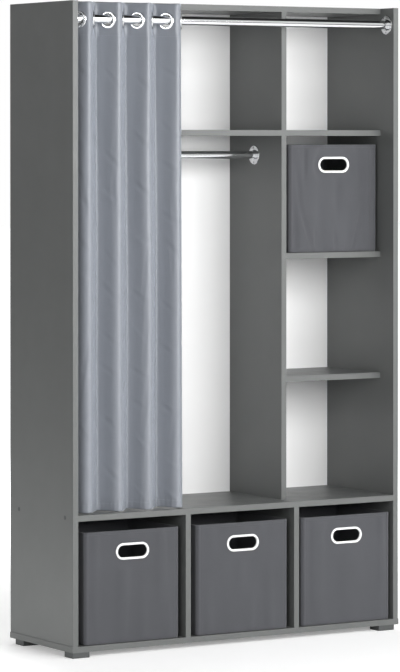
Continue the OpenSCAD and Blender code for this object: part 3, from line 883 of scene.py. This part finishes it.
def curtain_skin():
    """The flat pattern's grid, with its lines closer at the hems and a patch for each hole."""
    s_lines = spaced(0, CLOTH_END - PATCH, GRID_END)
    patches = []
    for k in range(RING_COUNT):
        centre = CLOTH_END + k * CLOTH_PITCH
        i0 = len(s_lines)
        s_lines += spaced(centre - PATCH, centre + PATCH, GRID_PATCH)
        patches.append([i0, len(s_lines)])
        if k < RING_COUNT - 1:
            s_lines += spaced(centre + PATCH, centre + CLOTH_PITCH - PATCH, GRID_FOLD)
    s_lines += spaced(cloth_w - CLOTH_END + PATCH, cloth_w, GRID_END) + [cloth_w]
    ring_h = ring_z - hem_z
    h_lines = spaced(0, HEM_H + NEAR_HEM, GRID_HEM)
    h_lines += spaced(HEM_H + NEAR_HEM, ring_h - NEAR_RINGS, GRID_DOWN)
    h_lines += spaced(ring_h - NEAR_RINGS, ring_h - PATCH, GRID_BELOW)
    j0 = len(h_lines)
    h_lines += spaced(ring_h - PATCH, ring_h + PATCH, GRID_PATCH)
    j1 = len(h_lines)
    h_lines += spaced(ring_h + PATCH, cloth_h, GRID_ABOVE) + [cloth_h]
    holes = [(i0, i1, j0, j1, slot_outline(2 * HOLE_R, 2 * HOLE_R)) for i0, i1 in patches]
    return Skin(s_lines, h_lines, holes)


def make_curtain():
    """The hung cloth as a closed mesh, with the flat pattern as its UV map."""
    skin = curtain_skin()
    flat = np.array(skin.points)
    front, back = [face(*flat.T, 0) for face in both_faces]
    curtain = two_faced("curtain", skin, front, back, uv=flat)
    curtain.data.materials.append(MATERIALS["curtain_satin"])
    return curtain


def curtain_stitches():
    """Ends of every stitch on the pattern: along the hem, below the head and up both sides."""
    ends = []
    for line in LEVEL_SEAMS:
        starts = spaced(FIRST_STITCH, cloth_w - LAST_STITCH, STITCH_PITCH)
        ends += [((s, line), (s + STITCH, line)) for s in starts]
    for line in UPRIGHT_SEAMS:
        starts = spaced(FIRST_STITCH, cloth_h - LAST_STITCH, STITCH_PITCH)
        ends += [((line, h), (line, h + STITCH)) for h in starts]
    return ends


def cloth_face(side):
    """Places points off the cloth's front, with side 1, or off its back, with side -1."""
    return lambda s, h, lift: drape.place(s, h, side * (thickness(s, h) / 2 + lift))


drape = Drape()
both_faces = [cloth_face(1), cloth_face(-1)]
curtain = make_curtain()
stitching = stitched("curtain_stitching", curtain_stitches(), both_faces, THREAD)
for piece in (curtain, stitching):
    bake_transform(piece)
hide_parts("curtain_cloth")


# ---- fabric bins ----

# The width of the rim of the ring behind the handle
CLIP_RIM = 5 * MM
BIN_WALL = 2.5 * MM
BIN_CORNER = 11 * MM
BIN_RIM_R = 1.25 * MM
BIN_FOOT_R = 3 * MM
# The corners' seams, from the corner's middle, and the bound band at the rim
BIN_SEAM = 11 * MM
BAND_H = 11 * MM
BAND_OUT = 0.45 * MM
BAND_STEP = 0.8 * MM
SEAM_DEPTH, SEAM_HALF_WIDTH = 0.35 * MM, 1 * MM
# The ridge of cloth in each corner's seam: how far out, from the corner's middle, and half width
RIDGE_OUT = 0.55 * MM
RIDGE_AT = 4 * MM
RIDGE_HALF_WIDTH = 3.2 * MM
RIDGE_FROM_FOOT = 6 * MM
# The cloth presses on its card softly, stands off the sides and back so far, and at most so far
BIN_SOFT, BIN_STAND, BIN_MOST = 1 * MM, 1 * MM, 9 * MM
# Wrinkles: how many, their wave lengths in millimetres, the least height over which one leans by a
# wave, their sizes at a full wave length, and how far they bend and how slowly
WRINKLES = 9
WRINKLE_LONG = (48, 120)
WRINKLE_LEAN = 520 * MM
WRINKLE_SIZE, WRINKLE_FULL = (0.5, 1), 100 * MM
WRINKLE_BEND, WRINKLE_BEND_H = 0.35, 130 * MM
# The cloth is loose away from a corner's middle and the hole: from where, and over what distance;
# and away from the rim and foot: over what height, and how much of that it has at the edge
CORNER_CALM, CORNER_OVER = 8 * MM, 26 * MM
HOLE_CALM, HOLE_OVER = 8 * MM, 34 * MM
RIM_OVER, RIM_SHARE = 30 * MM, 0.25
FOOT_OVER, FOOT_SHARE = 18 * MM, 0.15
# The grid: how far the hole's patch reaches beyond it, its lines, and the lines at the corners
HOLE_REACH = 9 * MM
GRID_HOLE = 4.2 * MM
GRID_CORNER = 1 * MM
NEAR_CORNER, GRID_NEAR_CORNER = 10 * MM, 1.25 * MM
# The lines across the front and the other walls, and up them: below and above the hole, at the band
GRID_FRONT, GRID_OTHER = 3.6 * MM, 9 * MM
GRID_UP, GRID_OVER_HOLE = 6 * MM, 4 * MM
NEAR_BAND, GRID_BAND = 2 * MM, 0.8 * MM
# Steps round the foot's and the rim's rounded edges
ROUND_STEPS = 4
# The folds in the upper bin's front, in millimetres: place right of the middle and above the foot,
# slant in degrees to the right, half length, half width, and depth as a negative height
UPPER_FOLDS = [
    (-118, 175, -5, 60, 8, -5.5),
    (-96, 72, -18, 55, 8, -6.0),
    (12, 165, 0, 62, 13, -5.5),
    (76, 55, 14, 45, 6, -4.8),
    (-98, 262, 2, 45, 5, -4.0),
    (3, 30, -4, 26, 6, -4.5),
    (92, 215, -18, 38, 9, -4.0),
    (-58, 30, -10, 28, 6, -4.2),
    (128, 120, 1, 80, 7, -4.2),
]


class FabricBin:
    """Card panels sewn into cloth: an open box with round corners, seams, a bound rim and wrinkles.

    The pattern's s runs round the walls from the middle of the back, seen from above anticlockwise,
    and h runs up from the bottom."""

    def __init__(self, name, seed, slack, stand, folds):
        """slack is the wrinkles' size; stand is how far the front's cloth stands off its card."""
        self.name = name
        self.slack = slack
        self.stand = stand
        self.folds = folds
        low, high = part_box(f"{name}_shell")
        self.middle = ((low.x + high.x) / 2, (low.y + high.y) / 2)
        self.width, self.depth, self.height = high.x - low.x, high.y - low.y, high.z - low.z
        self.base_z = low.z
        clip_low, clip_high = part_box(f"{name}_handle_clip")
        self.hole_width = clip_high.x - clip_low.x - 2 * CLIP_RIM
        self.hole_height = clip_high.z - clip_low.z - 2 * CLIP_RIM
        self.hole_h = (clip_low.z + clip_high.z) / 2 - low.z
        self.lengths = self.side_lengths()
        self.round = sum(self.lengths)
        self.front_s = self.round / 2
        self.waves = self.random_waves(seed)

    def side_lengths(self):
        """Half the back, a corner, the left side, a corner, the front, and on round to the back."""
        corner = math.pi / 2 * BIN_CORNER
        across, along = self.width - 2 * BIN_CORNER, self.depth - 2 * BIN_CORNER
        return [across / 2, corner, along, corner, across, corner, along, corner, across / 2]

    def random_waves(self, seed):
        """Soft wrinkles that stand nearly upright: their wave lengths, slants, phases and sizes."""
        rng = np.random.default_rng(seed)
        waves = []
        for _ in range(WRINKLES):
            long = rng.uniform(*WRINKLE_LONG) * MM
            lean = rng.uniform(-1, 1) / WRINKLE_LEAN
            phase = rng.uniform(0, 2 * math.pi)
            size = rng.uniform(*WRINKLE_SIZE) * long / WRINKLE_FULL
            waves.append((1 / long, lean, phase, size))
        return waves

    def outline(self, s):
        """Points on the walls' outer line at a distance round it, and directions out of the box."""
        s = np.mod(s, self.round)
        x, y, out_x, out_y = np.zeros((4, *s.shape))
        r = BIN_CORNER
        start = 0.0
        facing = math.pi
        px, py = 0.0, self.depth / 2
        for n, length in enumerate(self.lengths):
            here = (s >= start) & (s <= start + length)
            run = s[here] - start
            cos, sin = math.cos(facing), math.sin(facing)
            if n % 2 == 0:
                x[here], y[here] = px + run * cos, py + run * sin
                out_x[here], out_y[here] = sin, -cos
                px, py = px + length * cos, py + length * sin
            else:
                cx, cy = px - r * sin, py + r * cos
                turn = facing + run / r
                x[here], y[here] = cx + r * np.sin(turn), cy - r * np.cos(turn)
                out_x[here], out_y[here] = np.sin(turn), -np.cos(turn)
                facing += math.pi / 2
                px, py = cx + r * math.sin(facing), cy - r * math.cos(facing)
            start += length
        return x + self.middle[0], y + self.middle[1], out_x, out_y

    def corner_distance(self, s):
        """How far a place on the walls is from the nearest corner's middle."""
        s = np.mod(s, self.round)
        middles = np.cumsum([0] + self.lengths[:-1]) + np.array(self.lengths) / 2
        return np.min([np.abs(s - corner) for corner in middles[1::2]], axis=0)

    def fold_depth(self, s, h):
        """How far the single folds in the front push the cloth out; less than 0 is inwards."""
        total = np.zeros_like(s)
        for x, z, slant, length, width, depth in self.folds:
            turn = math.radians(slant)
            right, up = s - self.front_s - x * MM, h - z * MM
            along = up * math.cos(turn) + right * math.sin(turn)
            across = right * math.cos(turn) - up * math.sin(turn)
            near = (along / (length * MM)) ** 2 + (across / (width * MM)) ** 2
            total += depth * MM * np.exp(-near)
        return total

    def bulge(self, s, h):
        """How far the outer cloth stands off the flat wall."""
        off = self.corner_distance(s)
        waves = np.zeros_like(s)
        for wave, lean, phase, size in self.waves:
            bend = WRINKLE_BEND * np.sin(h / WRINKLE_BEND_H + 2 * phase)
            waves += size * np.sin(2 * math.pi * (s * wave + h * lean) + phase + bend)
        fade = smooth((off - CORNER_CALM) / CORNER_OVER)
        fade *= smooth((self.height - h) / RIM_OVER + RIM_SHARE)
        fade *= smooth(h / FOOT_OVER + FOOT_SHARE)
        straight = (self.hole_width - self.hole_height) / 2
        beside = np.maximum(np.abs(s - self.front_s) - straight, 0)
        from_hole = np.hypot(beside, h - self.hole_h) - self.hole_height / 2
        fade *= smooth((from_hole - HOLE_CALM) / HOLE_OVER)
        at_front = np.abs(s - self.front_s) < self.width / 2
        stand = np.where(at_front, self.stand, BIN_STAND)
        loose = fade * (self.slack * waves + stand) + self.fold_depth(s, h)
        total = BIN_SOFT * np.logaddexp(0, loose / BIN_SOFT) - BIN_SOFT * math.log(2)
        total = BIN_MOST * np.tanh(total / BIN_MOST)
        ridge = np.exp(-(((off - RIDGE_AT) / RIDGE_HALF_WIDTH) ** 2))
        total += RIDGE_OUT * ridge * smooth(h / RIDGE_FROM_FOOT)
        above_band = h - self.height + BAND_H
        total += BAND_OUT * smooth(above_band / BAND_STEP)
        for line in (off - BIN_SEAM, above_band - STITCH_IN):
            total -= SEAM_DEPTH * np.exp(-((line / SEAM_HALF_WIDTH) ** 2))
        return total

    def place(self, s, h, lift, inside=False):
        """Points lifted off the outer face, or points on the inner face."""
        s, h = np.asarray(s, float), np.asarray(h, float)
        x, y, out_x, out_y = self.outline(s)
        rim = np.clip((h - self.height + BIN_RIM_R) / BIN_RIM_R, 0, 1)
        closing = BIN_WALL / 2 * (1 - np.sqrt(1 - rim ** 2))
        if inside:
            away = closing - BIN_WALL
            z = np.maximum(h, BIN_WALL)
        else:
            foot = np.clip((BIN_FOOT_R - h) / BIN_FOOT_R, 0, 1)
            tucked = BIN_FOOT_R * (1 - np.sqrt(1 - foot ** 2))
            away = self.bulge(s, h) * (1 - rim) - closing - tucked + lift
            z = h
        return np.column_stack([x + out_x * away, y + out_y * away, self.base_z + z])

    def columns(self):
        """Lines round the walls, closer at the corners, and the first and last of the patch."""
        lines, start, patch = [], 0.0, []
        reach = self.hole_width / 2 + HOLE_REACH
        final = len(self.lengths) - 1
        for n, length in enumerate(self.lengths):
            end = start + length
            if n % 2:
                lines += spaced(start, end, GRID_CORNER)
                start = end
                continue
            first = start + NEAR_CORNER if n > 0 else start
            last = end - NEAR_CORNER if n < final else end
            if first > start:
                lines += spaced(start, first, GRID_NEAR_CORNER)
            if n == final // 2:
                lines += spaced(first, self.front_s - reach, GRID_FRONT)
                patch.append(len(lines))
                lines += spaced(self.front_s - reach, self.front_s + reach, GRID_HOLE)
                patch.append(len(lines))
                lines += spaced(self.front_s + reach, last, GRID_FRONT)
            else:
                lines += spaced(first, last, GRID_OTHER)
            if last < end:
                lines += spaced(last, end, GRID_NEAR_CORNER)
            start = end
        return lines + [self.round], patch

    def rows(self):
        """Lines up the walls, closer at the foot and rim, and the first and last of the patch."""
        reach = self.hole_height / 2 + HOLE_REACH
        turns = [math.pi / 2 * k / ROUND_STEPS for k in range(ROUND_STEPS + 1)]
        foot = [BIN_FOOT_R * (1 - math.cos(turn)) for turn in turns]
        lines = foot[:-1] + spaced(foot[-1], self.hole_h - reach, GRID_UP)
        patch = [len(lines)]
        lines += spaced(self.hole_h - reach, self.hole_h + reach, GRID_HOLE)
        patch.append(len(lines))
        band = self.height - BAND_H
        lines += spaced(self.hole_h + reach, band - NEAR_BAND, GRID_OVER_HOLE)
        lines += spaced(band - NEAR_BAND, self.height - BIN_RIM_R, GRID_BAND)
        lines += [self.height - BIN_RIM_R * (1 - math.sin(turn)) for turn in turns]
        return lines, patch

    def make(self):
        """The bin's cloth and its row of stitches, riding on the bin's CAD body."""
        s_lines, (i0, i1) = self.columns()
        h_lines, (j0, j1) = self.rows()
        hole = (i0, i1, j0, j1, slot_outline(self.hole_width, self.hole_height))
        skin = Skin(s_lines, h_lines, [hole], wrapped=True)
        flat = np.array(skin.points)
        outer, inner = [self.place(*flat.T, 0, inside) for inside in (False, True)]
        foot = [skin.index[i, 0] for i in range(len(s_lines) - 1)]
        body = two_faced(f"{self.name}_cloth", skin, outer, inner, caps=[foot])
        body.data.materials.append(MATERIALS["bin_fabric"])
        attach(body, self.name)
        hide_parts(f"{self.name}_shell")
        seam = stitched(f"{self.name}_stitching", self.stitches(), [self.place], BIN_THREAD)
        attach(seam, self.name)

    def stitches(self):
        """Ends of the stitches round the rim's band."""
        line = self.height - BAND_H + STITCH_IN
        starts = spaced(0, self.round - STITCH_PITCH, STITCH_PITCH)
        return [((s, line), (s + STITCH, line)) for s in starts]


BIN_THREAD = thread("bin_thread", linear(88, 89, 93))
# Body, seed of its wrinkles, their size, how far the front's cloth stands off, and its single folds
BINS = [
    ("bin_left", 3, 1.5 * MM, 0.8 * MM, ()),
    ("bin_middle", 8, 1.5 * MM, 0.8 * MM, ()),
    ("bin_right", 21, 1.5 * MM, 0.8 * MM, ()),
    ("bin_upper", 34, 1.6 * MM, 5.5 * MM, UPPER_FOLDS),
]
for bin_row in BINS:
    FabricBin(*bin_row).make()
